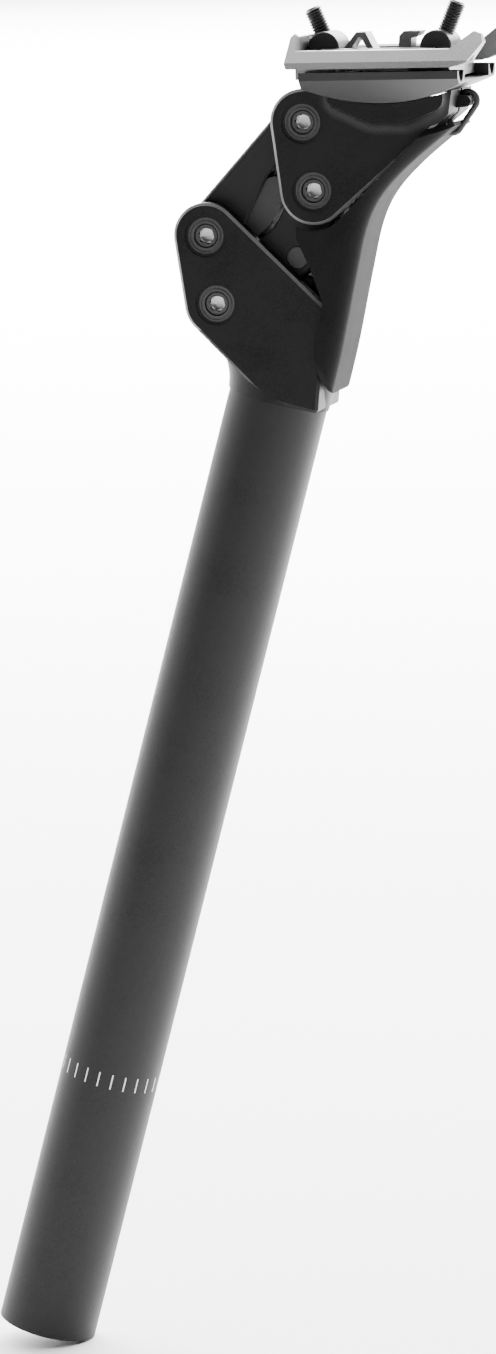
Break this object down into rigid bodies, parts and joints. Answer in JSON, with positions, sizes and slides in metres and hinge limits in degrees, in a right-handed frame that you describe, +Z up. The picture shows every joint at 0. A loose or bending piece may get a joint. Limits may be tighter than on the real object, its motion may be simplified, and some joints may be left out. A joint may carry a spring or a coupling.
{
  "type": "suspension seatpost",
  "caption": "Bicycle seatpost with a sprung parallelogram linkage in its head, a two-bolt saddle rail clamp and a splash guard behind the links.",
  "frame": {"origin": "centre of the post's bottom end", "axes": "+Z up the post's axis, +X to the rear of the bicycle, Y across it"},
  "size_m": [0.0704, 0.054, 0.3864],
  "materials": {
    "anodised_black": "fine matte bead-blasted black anodising",
    "anodised_grey": "matte dark grey anodising",
    "steel_bright": "bright machined steel",
    "steel_black": "black oxide steel, lightly oiled",
    "bearing_polymer": "dark bearing polymer",
    "rubber_black": "matte black rubber",
    "fender_plastic": "flexible black plastic with a fine matte grain"
  },
  "bodies": {
    "post": {"post_tube": "anodised_black", "post_head": "anodised_black", "plunger_guide": "bearing_polymer", "lower_front_bushes": "steel_black", "lower_rear_bushes": "steel_black"},
    "front_link": {"front_link": "anodised_black", "topout_bumper": "rubber_black", "lower_front_axle": "steel_black", "upper_front_axle": "steel_black"},
    "rear_link": {"rear_link": "anodised_black", "lower_rear_axle": "steel_black", "upper_rear_axle": "steel_black", "crank_pin": "steel_black"},
    "roller": {"crank_roller": "steel_bright"},
    "upper_head": {"upper_head": "anodised_black", "upper_front_bushes": "steel_black", "upper_rear_bushes": "steel_black", "fender": "fender_plastic", "fender_band": "rubber_black"},
    "plunger": {"plunger": "anodised_black"},
    "preload_seat": {"preload_seat": "anodised_grey", "main_spring": "steel_black", "inner_spring": "steel_bright"},
    "preload_plug": {"preload_plug": "anodised_grey"},
    "clamp": {"rail_cradle": "anodised_black", "top_clamp": "anodised_grey"},
    "front_nut": {"front_barrel_nut": "steel_black"},
    "front_bolt": {"front_clamp_bolt": "steel_black", "front_clamp_washer": "steel_black"},
    "rear_nut": {"rear_barrel_nut": "steel_black"},
    "rear_bolt": {"rear_clamp_bolt": "steel_black", "rear_clamp_washer": "steel_black"}
  },
  "joints": [
    {"name": "front_link_pivot", "type": "hinge", "parent": "post", "child": "front_link", "pos_m": [-0.0275, 0, 0.309], "axis": [0, 1, 0], "range_deg": [0, 55], "stiffness_Nm_per_rad": 14, "springref_deg": -25.78},
    {"name": "rear_link_pivot", "type": "hinge", "parent": "post", "child": "rear_link", "pos_m": [-0.02011, 0, 0.29209], "axis": [0, 1, 0], "range_deg": [0, 55]},
    {"name": "upper_head_pivot", "type": "hinge", "parent": "front_link", "child": "upper_head", "pos_m": [-0.00932, 0, 0.3453], "axis": [0, 1, 0], "range_deg": [-55, 0]},
    {"name": "roller_spin", "type": "hinge", "parent": "rear_link", "child": "roller", "pos_m": [-0.00253, 0, 0.30934], "axis": [0, 1, 0], "continuous": true},
    {"name": "plunger_slide", "type": "slide", "parent": "post", "child": "plunger", "axis": [0, 0, -1], "range_m": [0, 0.0219], "deforming": ["main_spring", "inner_spring"]},
    {"name": "preload_travel", "type": "slide", "parent": "post", "child": "preload_seat", "axis": [0, 0, 1], "range_m": [-0.006, 0]},
    {"name": "preload_turn", "type": "hinge", "parent": "preload_seat", "child": "preload_plug", "pos_m": [0, 0, 0.0397], "axis": [0, 0, 1], "range_deg": [-1440, 0]},
    {"name": "saddle_tilt", "type": "hinge", "parent": "upper_head", "child": "clamp", "pos_m": [-0.00285, 0, 0.40631], "axis": [0, 1, 0], "range_deg": [-3, 3]},
    {"name": "front_nut_swing", "type": "hinge", "parent": "clamp", "child": "front_nut", "pos_m": [-0.00995, 0, 0.36534], "axis": [0, 1, 0], "range_deg": [-7.07, 7.07]},
    {"name": "front_bolt_travel", "type": "slide", "parent": "front_nut", "child": "front_bolt", "axis": [0.6239, 0, -0.7815], "range_m": [-0.00163, 0.00163]},
    {"name": "rear_nut_swing", "type": "hinge", "parent": "clamp", "child": "rear_nut", "pos_m": [0.01953, 0, 0.37357], "axis": [0, 1, 0], "range_deg": [-7.35, 7.35]},
    {"name": "rear_bolt_travel", "type": "slide", "parent": "rear_nut", "child": "rear_bolt", "axis": [-0.1288, 0, -0.9917], "range_m": [-0.00138, 0.00138]}
  ],
  "couplings": [
    {"joint": "rear_link_pivot", "follows": "front_link_pivot", "ratio": 1},
    {"joint": "upper_head_pivot", "follows": "front_link_pivot", "ratio": -1},
    {"joint": "plunger_slide", "follows": "front_link_pivot", "m_per_rad": 0.02275},
    {"joint": "preload_turn", "follows": "preload_travel", "rad_per_m": 4188.8},
    {"joint": "front_nut_swing", "follows": "saddle_tilt", "ratio": -2.3521},
    {"joint": "front_bolt_travel", "follows": "saddle_tilt", "m_per_rad": 0.030954},
    {"joint": "rear_nut_swing", "follows": "saddle_tilt", "ratio": -2.4456},
    {"joint": "rear_bolt_travel", "follows": "saddle_tilt", "m_per_rad": -0.026269}
  ]
}
